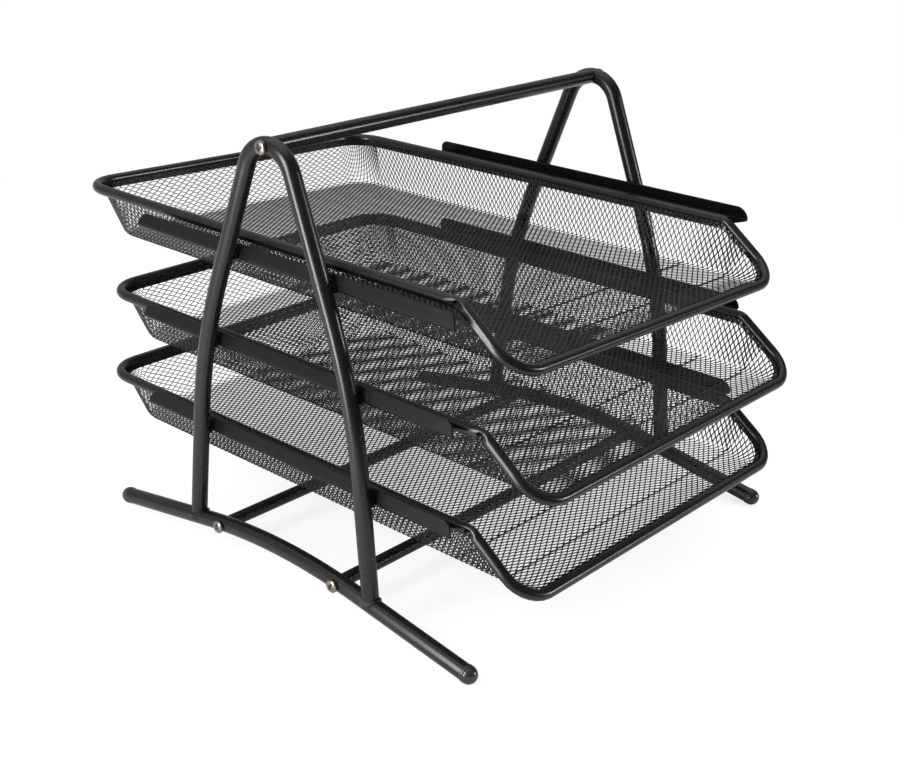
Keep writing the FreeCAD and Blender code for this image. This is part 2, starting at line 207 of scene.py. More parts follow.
frameCoat, railCoat = powderCoat("frameCoat"), powderCoat("railCoat")
rimCoat, meshCoat = powderCoat("rimCoat"), powderCoat("meshCoat")
capPlastic = mouldedPlastic("capPlastic")
screwSteel, insertSteel = platedSteel("screwSteel"), platedSteel("insertSteel")
print("finishes made")

# shared mesh making


def meshObject(name, vertices, faces, material, smooth=True):
    data = bpy.data.meshes.new(name)
    data.from_pydata([tuple(v) for v in vertices], [], faces)
    data.materials.append(material)
    data.validate()
    body = bmesh.new()
    body.from_mesh(data)
    bmesh.ops.remove_doubles(body, verts=body.verts, dist=1e-7)
    bmesh.ops.recalc_face_normals(body, faces=body.faces)
    body.to_mesh(data)
    body.free()
    data.polygons.foreach_set("use_smooth", [smooth] * len(data.polygons))
    made = bpy.data.objects.new(name, data)
    bpy.context.scene.collection.objects.link(made)
    return made


def gridFaces(rows, columns, closeRows, closeColumns, first=0):
    faces = []
    for i in range(rows if closeRows else rows - 1):
        for j in range(columns if closeColumns else columns - 1):
            a, b = i, (i + 1) % rows
            c, d = j, (j + 1) % columns
            faces.append([first + r * columns + k for r, k in ((a, c), (a, d), (b, d), (b, c))])
    return faces


def sharpen(made, degrees):  # smooth shading that keeps real edges crisp
    made.data.set_sharp_from_angle(angle=math.radians(degrees))


def finishPiece(made, body, slotName, *replaced):
    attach(made, body)
    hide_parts(*replaced)


def treeInput(tree, name, kind, default=None):
    socket = tree.interface.new_socket(name=name, in_out="INPUT", socket_type=kind)
    if default is not None:
        socket.default_value = default
    return socket.identifier


def grown(made, tree, settings):  # the object with the tree's geometry as a plain mesh
    modifier = made.modifiers.new("growth", "NODES")
    modifier.node_group = tree
    for identifier, value in settings.items():
        modifier[identifier] = value
    seen = made.evaluated_get(bpy.context.evaluated_depsgraph_get())
    plain = bpy.data.meshes.new_from_object(seen)
    made.modifiers.remove(modifier)
    old = made.data
    made.data = plain
    bpy.data.meshes.remove(old)


# tray paths

tray = {
    "halfWidth": 0.1248, "halfLength": 0.1818, "kinkY": -0.1430, "lipDrop": 0.0289,
    "rearBend": 0.022, "frontBend": 0.0190, "kinkBend": 0.006,
    "wallInset": 0.0034, "belowRim": 0.001, "aboveLip": 0.001,
    "floorHalfWidth": 0.1145, "floorDepth": 0.030,
    "floorRear": 0.1658, "floorFront": -0.1618,
    "floorRearBend": 0.020, "floorFrontBend": 0.012,
    "roll": 1.94,          # degrees, of the top tray about its right rim
    "seat": 0.0010168,     # rim centre above the rail's fold
}
trayPlaces = {             # y of each tray's middle, and its rails' fold height
    "bottom": (-0.00265, 0.0765), "middle": (-0.00915, 0.135), "top": (0.00915, 0.1935),
}


def trayMatrix(level):
    y, railFold = trayPlaces[level]
    place = Matrix.Translation((0, y, railFold + tray["seat"]))
    if level == "top":
        pivot = Matrix.Translation((tray["halfWidth"], 0, 0))
        roll = Matrix.Rotation(math.radians(tray["roll"]), 4, "Y")
        place = place @ pivot @ roll @ pivot.inverted()
    return np.array(place)


def movedBy(matrix, points):
    return np.asarray(points) @ matrix[:3, :3].T + matrix[:3, 3]


def loopCorners(halfWidth, rear, front, sideZ, frontZ):
    kink = tray["kinkY"]
    return np.array([
        (-halfWidth, rear, sideZ), (halfWidth, rear, sideZ), (halfWidth, kink, sideZ),
        (halfWidth, front, frontZ), (-halfWidth, front, frontZ), (-halfWidth, kink, sideZ)])


def unit(v):
    return v / np.linalg.norm(v)


def loopRuns(corners, bends):  # each run: start, end and an arc's centre, in order round the loop
    turns = []
    for i, corner in enumerate(corners):
        back, ahead = unit(corners[i - 1] - corner), unit(corners[(i + 1) % len(corners)] - corner)
        half = math.acos(np.clip(back @ ahead, -1, 1)) / 2
        reach = bends[i] / math.tan(half)
        centre = corner + unit(back + ahead) * bends[i] / math.sin(half)
        turns.append((corner + back * reach, corner + ahead * reach, centre))
    runs = []
    for i, (start, end, centre) in enumerate(turns):
        if bends[i]:
            runs.append((start, end, centre))
        runs.append((end, turns[(i + 1) % len(turns)][0], None))
    return runs


def onRun(run, share):  # points along a run, for an array of shares
    start, end, centre = run
    share = np.asarray(share, float)[:, None]
    if centre is None:
        return start + (end - start) * share
    a, b = start - centre, end - centre
    angle = math.acos(np.clip(unit(a) @ unit(b), -1, 1))
    return centre + (np.sin((1 - share) * angle) * a + np.sin(share * angle) * b) / math.sin(angle)


def basketLoop(share, out, up):  # share 0 at the rim and 1 at the floor
    def mix(a, b):
        return a + (b - a) * share
    t = tray
    edge = t["halfLength"] - t["wallInset"]
    corners = loopCorners(
        mix(t["halfWidth"] - t["wallInset"], t["floorHalfWidth"]) + out,
        mix(edge, t["floorRear"]) + out,
        mix(-edge, t["floorFront"]) - out,
        mix(-t["belowRim"], -t["floorDepth"]) + up,
        mix(t["aboveLip"] - t["lipDrop"], -t["floorDepth"]) + up)
    rear = mix(t["rearBend"] - t["wallInset"], t["floorRearBend"]) + out
    front = mix(t["frontBend"] - t["wallInset"], t["floorFrontBend"]) + out
    return loopRuns(corners, [rear, rear, 0, front, front, 0])


# expanded-metal baskets

mesh = {
    "longWay": 0.0060,     # diamond's long diagonal, across the tray
    "shortWay": 0.00366,
    "strand": 0.00054,     # width of a strand, seen square on
    "sheet": 0.00036,
    # a strand's width as a share, on the floor, on the walls and on their front ends
    "floorGirth": 1.20, "wallGirth": 1.0, "frontGirth": 1.45,
    "foldBend": 0.0035,    # half the length of the bend from floor to wall
    "foldShare": 0.4,      # and at most this share of the wall's height
    "besideFloor": 0.034, "beforeFloor": 0.022, "behindFloor": 0.038,  # flat sheet for the walls
    "slopeSteps": 30, "bendSteps": 60,
    "creases": (-0.1545, -0.1210),
    "creaseDepth": 0.0006, "creaseWidth": 0.0011, "creaseGirth": 0.9,
}


def nearestRun(flat, runs):  # for flat points: signed distance outward, run and share along it
    best = np.full(len(flat), np.inf)
    distance = np.zeros(len(flat))
    which = np.zeros(len(flat), int)
    share = np.zeros(len(flat))
    for i, (start, end, centre) in enumerate(runs):
        if centre is None:
            line = end[:2] - start[:2]
            along = np.clip((flat - start[:2]) @ line / (line @ line), 0, 1)
            gap = flat - (start[:2] + along[:, None] * line)
            outward = np.array([-line[1], line[0]]) / np.linalg.norm(line)
            signed = np.linalg.norm(gap, axis=1) * np.where(gap @ outward > 0, 1, -1)
            apart = np.abs(signed)
        else:
            radius = np.linalg.norm(start[:2] - centre[:2])
            ray = flat - centre[:2]
            first = math.atan2(*(start - centre)[1::-1])
            turn = (first - np.arctan2(ray[:, 1], ray[:, 0]) + 2 * math.pi) % (2 * math.pi)
            along = turn / (math.pi / 2)
            signed = np.linalg.norm(ray, axis=1) - radius
            apart = np.where(along <= 1, np.abs(signed), np.inf)
            along = np.clip(along, 0, 1)
        closer = apart < best - 1e-12
        best[closer], distance[closer] = apart[closer], signed[closer]
        which[closer], share[closer] = i, along[closer]
    return distance, which, share


def frontTurn(floorRun, slopeRun, bendRun, right):  # the rim's path above a floor's front bend
    bendEdge = floorRun[0] if right else floorRun[1]
    share = (bendEdge[1] - slopeRun[0][1]) / (slopeRun[1][1] - slopeRun[0][1])
    bend = onRun(bendRun, np.linspace(0, 1, mesh["bendSteps"]))
    if right:
        slope = onRun(slopeRun, np.linspace(share, 1, mesh["slopeSteps"]))
        path = np.vstack([slope, bend[1:]])
    else:
        slope = onRun(slopeRun, np.linspace(0, share, mesh["slopeSteps"]))
        path = np.vstack([bend, slope[1:]])
    steps = np.linalg.norm(np.diff(path, axis=0), axis=1)
    return path, np.concatenate([[0], np.cumsum(steps)]) / steps.sum()


def wallLines(flat):  # for flat points: distance past the fold, and the wall's foot and top there
    half = mesh["sheet"] / 2
    floorRuns, rimRuns = basketLoop(1, -half, half), basketLoop(0, -half, 0)
    distance, which, share = nearestRun(flat, floorRuns)
    foot, top = np.zeros((len(flat), 3)), np.zeros((len(flat), 3))
    for i, (floorRun, rimRun) in enumerate(zip(floorRuns, rimRuns)):
        chosen = which == i
        foot[chosen] = onRun(floorRun, share[chosen])
        start, end, centre = rimRun
        if centre is None and start[2] != end[2]:  # below the slope the wall goes straight up
            drawn = (foot[chosen][:, 1] - start[1]) / (end[1] - start[1])
            top[chosen] = onRun(rimRun, drawn)
        elif centre is not None and centre[1] < tray["kinkY"]:
            right = centre[0] > 0
            slopeRun = rimRuns[i - 1 if right else i + 1]
            path, along = frontTurn(floorRun, slopeRun, rimRun, right)
            top[chosen] = np.column_stack([
                np.interp(share[chosen], along, path[:, c]) for c in range(3)])
        else:
            top[chosen] = onRun(rimRun, share[chosen])
    return distance, foot, top


def foldedSheet(flat):  # where flat sheet points lie in the basket, and how far up the wall
    distance, foot, top = wallLines(flat)
    wall = np.linalg.norm(top - foot, axis=1)
    upward = (top - foot) / wall[:, None]
    floorZ = mesh["sheet"] / 2 - tray["floorDepth"]
    level = np.column_stack([flat, np.full(len(flat), floorZ)])
    placed = np.where((distance > 0)[:, None], foot + upward * distance[:, None], level)
    bend = np.minimum(mesh["foldBend"], mesh["foldShare"] * wall)
    inward = np.column_stack([flat - foot[:, :2], np.zeros(len(flat))])
    length = np.linalg.norm(inward, axis=1)
    inward /= np.maximum(length, 1e-9)[:, None] * np.where(distance > 0, -1, 1)[:, None]
    t = ((distance + bend) / (2 * bend))[:, None]
    smooth = ((1 - t) ** 2 * (foot + inward * bend[:, None]) + 2 * t * (1 - t) * foot
              + t ** 2 * (foot + upward * bend[:, None]))
    near = (np.abs(distance) < bend) & (length > 1e-6)
    placed[near] = smooth[near]
    for crease in mesh["creases"]:
        dent = np.exp(-((flat[:, 1] - crease) / mesh["creaseWidth"]) ** 2)
        placed[:, 2] -= np.where(distance < -bend, dent * mesh["creaseDepth"], 0)
    return placed, distance / wall


def strandLattice():  # zigzag strands side by side, cut off at the rim
    stepX, stepY = mesh["longWay"] / 2, mesh["shortWay"] / 2
    columns = 2 * int((tray["floorHalfWidth"] + mesh["besideFloor"]) / stepX) + 1
    first = int((tray["floorFront"] - mesh["beforeFloor"]) / stepY)
    rows = int((tray["floorRear"] + mesh["behindFloor"]) / stepY) - first
    x = (np.arange(columns) - columns // 2) * stepX
    k, j = np.meshgrid(np.arange(rows) + first, np.arange(columns), indexing="ij")
    upper = (k + j) % 2
    y = (k + upper) * stepY + np.where(upper == 1, -0.5, 0.5) * mesh["strand"]
    flat = np.column_stack([np.broadcast_to(x, y.shape).ravel(), y.ravel()])
    placed, height = foldedSheet(flat)
    index = np.arange(rows * columns).reshape(rows, columns)
    a, b = index[:, :-1].ravel(), index[:, 1:].ravel()
    inA, inB = height[a] <= 1, height[b] <= 1
    both = inA & inB
    edges = np.column_stack([a[both], b[both]])
    cut = inA != inB
    kept, lost = np.where(inA, a, b)[cut], np.where(inA, b, a)[cut]
    part = ((1 - height[kept]) / (height[lost] - height[kept]))[:, None]
    ends, _ = foldedSheet(flat[kept] + (flat[lost] - flat[kept]) * part)
    edges = np.vstack([edges, np.column_stack([kept, len(flat) + np.arange(len(kept))])])
    points = np.vstack([placed, ends])
    used, renumbered = np.unique(edges, return_inverse=True)
    return points[used], renumbered.reshape(edges.shape)


def strandTree():
    group = bpy.data.node_groups.new("expandedMetal", "GeometryNodeTree")
    treeInput(group, "Lattice", "NodeSocketGeometry")
    names = {
        "width": treeInput(group, "Strand Width", "NodeSocketFloat", mesh["strand"]),
        "depth": treeInput(group, "Sheet Thickness", "NodeSocketFloat", mesh["sheet"]),
        "coat": treeInput(group, "Coat", "NodeSocketMaterial"),
    }
    group.interface.new_socket(name="Strands", in_out="OUTPUT", socket_type="NodeSocketGeometry")
    tree = Tree(group)
    given = group.nodes.new("NodeGroupInput")
    lattice, width, depth, coat = (Socket(tree, given.outputs[n]) for n in (
        "Lattice", "Strand Width", "Sheet Thickness", "Coat"))
    lines = tree.add("GeometryNodeMeshToCurve", None, {"Mesh": lattice})
    facing = tree.named("facing", "FLOAT_VECTOR")
    lines = tree.add("GeometryNodeSetCurveNormal", {"mode": "FREE"}, {
        "Curve": lines, "Normal": facing})
    girth = tree.named("girth", "FLOAT")
    section = tree.add("GeometryNodeCurvePrimitiveQuadrilateral", None, {
        "Width": depth, "Height": width})
    strands = tree.add("GeometryNodeCurveToMesh", None, {
        "Curve": lines, "Profile Curve": section, "Scale": girth})
    whole = tree.add("GeometryNodeRealizeInstances", None, {"Geometry": strands})
    coated = tree.add("GeometryNodeSetMaterial", None, {"Geometry": whole, "Material": coat})
    out = group.nodes.new("NodeGroupOutput")
    group.links.new(coated.output, out.inputs["Strands"])
    return group, names


def onFloor(points):
    return points[:, 2] < mesh["foldBend"] / 2 - tray["floorDepth"]


def latticeFacing(points):  # the sheet's own direction at each lattice point
    low = onFloor(points)
    centre = np.array([0, (tray["floorRear"] + tray["kinkY"]) / 2, 0])
    away = points - centre
    away[:, 0] /= tray["halfWidth"]
    away[:, 1] /= tray["halfLength"]
    away[:, 2] = 0
    side = np.abs(away[:, 0]) > np.abs(away[:, 1])
    facing = np.where(side[:, None], [1, 0, 0], [0, 1, 0]) * np.where(away > 0, 1, -1)
    return np.where(low[:, None], [0, 0, 1.0], facing.astype(float))


def strandGirth(points):
    low, turn = onFloor(points), mesh["creases"][1]
    front = np.clip((turn - points[:, 1]) / (turn - tray["kinkY"]), 0, 1)
    girth = np.where(low, mesh["floorGirth"],
                     mesh["wallGirth"] + (mesh["frontGirth"] - mesh["wallGirth"]) * front)
    for crease in mesh["creases"]:
        fold = np.exp(-((points[:, 1] - crease) / mesh["creaseWidth"]) ** 2)
        girth += np.where(low, fold * mesh["creaseGirth"], 0)
    return girth.astype(np.float32)


def pointValues(data, name, kind, values):
    field = "vector" if kind == "FLOAT_VECTOR" else "value"
    values = np.asarray(values, np.float32).ravel()
    data.attributes.new(name, kind, "POINT").data.foreach_set(field, values)


latticePoints, latticeEdges = strandLattice()
facing, girth = latticeFacing(latticePoints), strandGirth(latticePoints)
strands, strandInputs = strandTree()
for level in levels:
    lattice = bpy.data.meshes.new(level + "Lattice")
    lattice.from_pydata(movedBy(trayMatrix(level), latticePoints), latticeEdges, [])
    pointValues(lattice, "facing", "FLOAT_VECTOR", facing)
    pointValues(lattice, "girth", "FLOAT", girth)
    basket = bpy.data.objects.new(level + "Basket", lattice)
    bpy.context.scene.collection.objects.link(basket)
    grown(basket, strands, {
        strandInputs["width"]: mesh["strand"], strandInputs["depth"]: mesh["sheet"],
        strandInputs["coat"]: meshCoat})
    finishPiece(basket, level + "_tray", "mesh_coat", level + "_tray_mesh")
    print(level, "basket:", len(basket.data.polygons), "faces")

# rolled rims

rim = {
    "tube": 0.0032, "around": 48, "step": 0.004, "fineStep": 0.0004, "fineReach": 0.012,
    "pathSteps": 400,
    "holeRadius": 0.0024, "holeDepth": 0.0065, "holeAngle": -3, "holeBack": 0.0010, "holeEdge": 6,
    "dishRadius": 0.0050, "dishDepth": 0.0016, "dishCurve": 1.3,
    "dishTail": 0.55, "dishNose": 0.9, "dishNarrow": 0.5, "dishNarrowEnd": 3,
    "facetFrom": -16, "facetTo": 44,
    "facetLead": 0.002, "facetRise": 0.003, "facetEnd": 0.036, "facetFade": 0.012,
    "press": {"bottom": 0.25, "middle": 0.4, "top": 1.0},  # how far each slope is pressed flat
    "hemHeight": 0.0036, "hemOut": (0.0004, 0.0010),
    "hemRound": 0.12, "hemSoft": 0.00008, "hemLip": 0.0001,
    "hemBendSteps": 12, "hemSideSteps": 16,
    "seamAngle": -118, "seamDepth": 0.00035, "seamWidth": 7,
    "crisp": 50,  # degrees; edges sharper than this stay crisp
}


def rimStations():  # centre line points and how far each is past a kink
    t = tray
    corners = loopCorners(t["halfWidth"], t["halfLength"], -t["halfLength"], 0, -t["lipDrop"])
    bends = [t["rearBend"]] * 2 + [t["kinkBend"]] + [t["frontBend"]] * 2 + [t["kinkBend"]]
    runs = loopRuns(corners, bends)
    shares = np.linspace(0, 1, rim["pathSteps"], endpoint=False)
    dense = np.vstack([onRun(run, shares) for run in runs])
    steps = np.linalg.norm(np.roll(dense, -1, axis=0) - dense, axis=1)
    along = np.concatenate([[0], np.cumsum(steps)])
    total = along[-1]
    kinks = [along[np.argmin(np.linalg.norm(dense - corners[i], axis=1))] for i in (2, 5)]
    marks, here = [], 0.0
    while here < total - rim["fineStep"] / 2:
        marks.append(here)
        apart = min(abs(here - k) for k in kinks)
        here += rim["fineStep"] if apart < rim["fineReach"] else rim["step"]
    closed = np.vstack([dense, dense[:1]])

    def at(s):
        return np.column_stack([np.interp(s % total, along, closed[:, c]) for c in range(3)])
    marks = np.array(marks)
    centre = at(marks)
    tangent = at(marks + rim["fineStep"]) - at(marks - rim["fineStep"])
    tangent /= np.linalg.norm(tangent, axis=1)[:, None]
    # the right side runs to the front, the left side to the rear
    past = np.where(centre[:, 0] > 0, marks - kinks[0], kinks[1] - marks)
    return centre, tangent, past


def facetDepth(past, degrees):  # between kink and front bend the lower outer face is pressed flat
    slope = (np.clip((past + rim["facetLead"]) / rim["facetRise"], 0, 1)
             * np.clip((rim["facetEnd"] - past) / rim["facetFade"], 0, 1))
    middle = (rim["facetFrom"] + rim["facetTo"]) / 2
    spread = (rim["facetTo"] - rim["facetFrom"]) / 2
    chord = rim["tube"] * math.cos(math.radians(spread)) / np.cos(np.radians(degrees - middle))
    flat = np.where(np.abs(degrees - middle) < spread, rim["tube"] - chord, 0)
    return slope[:, None] * flat[None, :]


def holeDepth(past, degrees):  # the relief hole at the kink, in a dish with a tail to the rear
    sideways = (degrees[None, :] - rim["holeAngle"]) * math.pi / 180 * rim["tube"]
    ahead = (past + rim["holeBack"])[:, None]
    away = np.hypot(ahead, sideways) / rim["holeRadius"]
    pit = np.clip(1 - away ** rim["holeEdge"], 0, 1) ** 0.5
    behind = np.clip(-ahead / rim["dishRadius"], 0, rim["dishNarrowEnd"])
    drawn = ahead * np.where(ahead < 0, rim["dishTail"], rim["dishNose"])
    reach = np.hypot(drawn, sideways * (1 + rim["dishNarrow"] * behind))
    dish = np.clip(1 - reach / rim["dishRadius"], 0, 1) ** rim["dishCurve"]
    return np.maximum(dish * rim["dishDepth"], pit * rim["holeDepth"])


def rimTube(press):
    centre, tangent, past = rimStations()
    outward = np.cross([0, 0, 1.0], tangent)
    outward /= np.linalg.norm(outward, axis=1)[:, None]
    upward = np.cross(tangent, outward)
    degrees = np.arange(rim["around"]) * 360 / rim["around"] - 180
    angle = np.radians(degrees)
    seam = np.exp(-((degrees - rim["seamAngle"]) / rim["seamWidth"]) ** 2)
    radius = (rim["tube"] - seam * rim["seamDepth"] - press * facetDepth(past, degrees)
              - holeDepth(past, degrees))
    offsets = (np.cos(angle)[None, :, None] * outward[:, None, :]
               + np.sin(angle)[None, :, None] * upward[:, None, :])
    points = centre[:, None, :] + offsets * radius[:, :, None]
    return points.reshape(-1, 3), gridFaces(len(centre), rim["around"], True, True)


def hemBand(first):
    share = rim["hemHeight"] / tray["floorDepth"]
    inner, outer = rim["hemOut"]
    middle, lip = (inner + outer) / 2, rim["hemLip"]
    edge = rim["hemRound"] * share
    section = [
        (0, inner), (0, outer), (share - edge, outer), (share - edge / 3, outer - rim["hemSoft"]),
        (share, middle + lip), (share, middle - lip), (share - edge / 3, inner)]
    rings = []
    for down, out in section:
        points = []
        for run in basketLoop(down, out, 0):
            count = rim["hemSideSteps"] if run[2] is None else rim["hemBendSteps"]
            points.append(onRun(run, np.arange(count) / count))
        rings.append(np.vstack(points))
    return np.vstack(rings), gridFaces(len(rings), len(rings[0]), True, True, first)


for level in levels:
    tubePoints, tubeFaces = rimTube(rim["press"][level])
    hemPoints, hemFaces = hemBand(len(tubePoints))
    points = movedBy(trayMatrix(level), np.vstack([tubePoints, hemPoints]))
    made = meshObject(level + "Rim", points, tubeFaces + hemFaces, rimCoat)
    sharpen(made, rim["crisp"])
    finishPiece(made, level + "_tray", "rim_coat", level + "_tray_rim")
print("rims:", len(tubeFaces) + len(hemFaces), "faces each")

# angle rails

rail = {
    "fold": 0.1386, "flange": 0.0087, "lean": 0.0025, "shelf": 0.015, "fall": 0.0042,
    "sheet": 0.0012, "innerBend": 0.0008, "length": 0.258, "middle": -0.01285,
    "corner": 0.007, "bevel": 0.018, "bevelEdge": 0.0005, "edgeRound": 0.00025,
    "rows": 41, "bendSteps": 9, "flangeMarks": (0.75, 0.5), "shelfMarks": (0.35, 0.6, 0.85),
    "crisp": 40,
    "heights": {"bottom": 0.0765, "middle": 0.135, "top": 0.1935},
}


def railSection():  # points round the bent sheet, with the fold's outside at the origin
    flange = math.hypot(rail["lean"], rail["flange"])
    shelf = math.hypot(rail["shelf"], rail["fall"])
    up = np.array([-rail["lean"], rail["flange"]]) / flange
    along = np.array([-rail["shelf"], -rail["fall"]]) / shelf
    acrossUp, acrossAlong = np.array([-up[1], up[0]]), np.array([along[1], -along[0]])
    half = math.acos(up @ along) / 2
    bisector = unit(up + along)
    sheet, r = rail["sheet"], rail["edgeRound"]

    def bendPoints(inward, radius):
        corner = bisector * inward / math.sin(half)
        reach = radius / math.tan(half)
        centre = corner + bisector * radius / math.sin(half)
        run = [np.append(p, 0) for p in (corner + up * reach, corner + along * reach, centre)]
        return list(onRun(run, np.linspace(0, 1, rail["bendSteps"]))[:, :2])
    tipUp, tipAlong = up * flange, along * shelf
    points = [tipUp + acrossUp * r, tipUp - up * r]
    points += [tipUp * s for s in rail["flangeMarks"]]
    points += bendPoints(0, rail["innerBend"] + sheet)
    points += [tipAlong * s for s in rail["shelfMarks"]]
    points += [tipAlong - along * r, tipAlong + acrossAlong * r]
    points += [tipAlong + acrossAlong * (sheet - r), tipAlong - along * r + acrossAlong * sheet]
    points += [tipAlong * s + acrossAlong * sheet for s in rail["shelfMarks"][::-1]]
    points += bendPoints(sheet, rail["innerBend"])[::-1]
    points += [tipUp * s + acrossUp * sheet for s in rail["flangeMarks"][::-1]]
    points += [tipUp - up * r + acrossUp * sheet, tipUp + acrossUp * (sheet - r)]
    return np.array(points)


def railCutBack(section):  # how far each point's line ends short of the rail's length
    corner, edge = rail["corner"], rail["bevelEdge"]
    lift = np.clip((section[:, 1] - (rail["flange"] - corner)) / corner, 0, 1)
    rounded = corner * (1 - np.sqrt(1 - lift ** 2))
    inward = np.clip(-section[:, 0] - rail["sheet"], 0, None) * (section[:, 1] < edge)
    return np.maximum(rounded, rail["bevel"] * inward / (rail["shelf"] - edge))


def railMesh(side, level):
    section = railSection()
    half, cutBack = rail["length"] / 2, railCutBack(section)
    r, count = rail["edgeRound"], len(section)

    def row(across, y):
        return np.column_stack([across[:, 0], y, across[:, 1]])
    opposite = section[-np.arange(count) - 1]
    middle = (section + opposite) / 2
    end = section + (middle - section) * min(1, 2 * r / rail["sheet"])
    rows = [row(end, cutBack - half)]
    reach = half - r - cutBack
    rows += [row(section, reach * share) for share in np.linspace(-1, 1, rail["rows"])]
    rows.append(row(end, half - cutBack))
    points = np.vstack(rows) + [rail["fold"], rail["middle"], rail["heights"][level]]
    faces = gridFaces(len(rows), count, False, True)
    for base in (0, (len(rows) - 1) * count):  # close the ends across the sheet
        for j in range(count // 2 - 1):
            faces.append([base + j, base + j + 1, base + count - 2 - j, base + count - 1 - j])
    points[:, 0] *= side
    return points, faces


for sideName, side in sides.items():
    for level in levels:
        points, faces = railMesh(side, level)
        made = meshObject(f"{sideName}{level.title()}Rail", points, faces, railCoat)
        sharpen(made, rail["crisp"])
        finishPiece(made, "stand", "rail_coat", f"{sideName}_{level}_rail")
print("rails made")

# foot caps

cap = {
    "dome": 0.0053, "skirt": 0.0024, "footX": 0.1436, "domeY": 0.1492, "middle": -0.01285,
    "height": 0.0050, "slope": 9.15, "around": 40, "seamRound": 0.00035,
    "parting": 0.0005, "partingReach": 0.0002, "partingWidth": 0.00025,
    "plug": 0.0040, "plugLength": 0.009, "plugRound": 0.0005,
    "seamSteps": (30, 60, 90), "domeSteps": 19,
    "crisp": 45,
}


def capProfile():  # distance along the axis outward from the dome's centre, and radius
    r, skirt, soft = cap["dome"], cap["skirt"], cap["seamRound"]
    plug, plugRound, plugEnd = cap["plug"], cap["plugRound"], -skirt - cap["plugLength"]
    parting, reach = -cap["parting"], cap["partingReach"]
    points = [(plugEnd, 0), (plugEnd, plug - plugRound), (plugEnd + plugRound, plug),
              (-skirt, plug), (-skirt, r - soft)]
    points += [(-skirt + soft * (1 - math.cos(a)), r - soft + soft * math.sin(a))
               for a in np.radians(cap["seamSteps"])]
    points += [(parting - reach, r), (parting, r - cap["partingWidth"] / 2), (parting + reach, r)]
    points += [(r * math.sin(a), r * math.cos(a))
               for a in np.radians(np.linspace(0, 90, cap["domeSteps"]))]
    return np.array(points)


def capPoints(side, end):
    dome = np.array([side * cap["footX"], cap["middle"] + end * cap["domeY"], cap["height"]])
    slope = math.radians(cap["slope"])
    axis = np.array([0, end * math.cos(slope), -math.sin(slope)])
    across, over = np.array([1.0, 0, 0]), np.cross(axis, [1.0, 0, 0])
    turn = np.arange(cap["around"]) * 2 * math.pi / cap["around"]
    ring = np.cos(turn)[:, None] * across + np.sin(turn)[:, None] * over
    profile = capProfile()
    points = dome + profile[:, 0][:, None, None] * axis + profile[:, 1][:, None, None] * ring
    points = points.reshape(-1, 3)
    points[:, 2] = np.maximum(points[:, 2], 0)  # stands flat on the table
    return points, gridFaces(len(profile), cap["around"], False, True)


for sideName, side in sides.items():
    for endName, end in (("front", -1), ("rear", 1)):
        points, faces = capPoints(side, end)
        made = meshObject(f"{sideName}{endName.title()}Cap", points, faces, capPlastic)
        sharpen(made, cap["crisp"])
        finishPiece(made, "stand", "cap_plastic", f"{sideName}_{endName}_foot_cap")
print("caps made")

# pan-head screws

screw = {
    "head": 0.004, "headHeight": 0.0026, "edge": 0.0011, "underEdge": 0.0003, "seatShare": 0.97,
    "domeShare": 0.985, "domePower": 2.4,
    "shank": 0.00195, "threadRoot": 0.0016, "threadStep": 0.00035, "shankLength": 0.0195,
    "armWidth": 0.0013, "armLength": 0.0048, "armSlope": 0.00025, "armRunout": 0.0004,
    "recessDepth": 0.0017, "recessTaper": 0.45,
    "around": 48, "rings": 16, "firstRing": 0.02, "ringSpread": 0.85, "crisp": 35,
    "seatX": 0.1486, "middle": -0.01285,
    "places": ((0.0, 0.266), (-0.0504, 0.02065), (0.0504, 0.02065)),  # past the middle, and height
    "turns": (12, 38, 61, 20, 74, 47),  # degrees, how each cross happens to stand
}


def recess(y, z):  # 1 inside the cross, with sloping sides
    def arm(across, along):
        sides = (screw["armWidth"] / 2 - np.abs(across)) / screw["armSlope"]
        ends = (screw["armLength"] / 2 - np.abs(along)) / screw["armRunout"]
        return np.clip(sides, 0, 1) * np.clip(ends, 0, 1)
    return np.maximum(arm(y, z), arm(z, y))


def screwRings():  # along +X from its seat: points, how deep in the recess, and the ring count
    r, tall, edge = screw["head"], screw["headHeight"], screw["edge"]
    turn = np.arange(screw["around"]) * 2 * math.pi / screw["around"]
    rings, depth = [], []

    def ring(x, radius, cut=0):
        rings.append(np.column_stack([
            np.broadcast_to(x, turn.shape), radius * np.cos(turn), radius * np.sin(turn)]))
        depth.append(np.broadcast_to(cut, turn.shape))
    for share in np.linspace(screw["firstRing"], 1, screw["rings"]) ** screw["ringSpread"]:
        cut = recess(share * r * np.cos(turn), share * r * np.sin(turn))
        fall = math.sqrt(max(0, 1 - (share * screw["domeShare"]) ** screw["domePower"]))
        along = np.clip(share * r / (screw["armLength"] / 2), 0, 1)
        taper = 1 - screw["recessTaper"] * along
        ring(edge + (tall - edge) * fall - cut * taper * screw["recessDepth"], share * r, cut)
    ring(edge, r)
    ring(screw["underEdge"], r)
    ring(0, r * screw["seatShare"])
    ring(0, screw["shank"])
    x = 0.0
    while x > -screw["shankLength"]:  # rolled thread
        for radius in (screw["shank"], screw["threadRoot"]):
            x -= screw["threadStep"]
            ring(x, radius)
    return np.vstack(rings), np.concatenate(depth), len(rings)


def screwModel():
    points, depth, ringCount = screwRings()
    faces = gridFaces(ringCount, screw["around"], False, True) + [list(range(screw["around"]))]
    model = bpy.data.meshes.new("oneScrew")
    model.from_pydata([tuple(p) for p in points], [], faces)
    pointValues(model, "recess", "FLOAT", depth)
    body = bmesh.new()
    body.from_mesh(model)
    bmesh.ops.recalc_face_normals(body, faces=body.faces)
    body.to_mesh(model)
    body.free()
    model.polygons.foreach_set("use_smooth", [True] * len(model.polygons))
    made = bpy.data.objects.new("oneScrew", model)
    bpy.context.scene.collection.objects.link(made)
    sharpen(made, screw["crisp"])
    return made


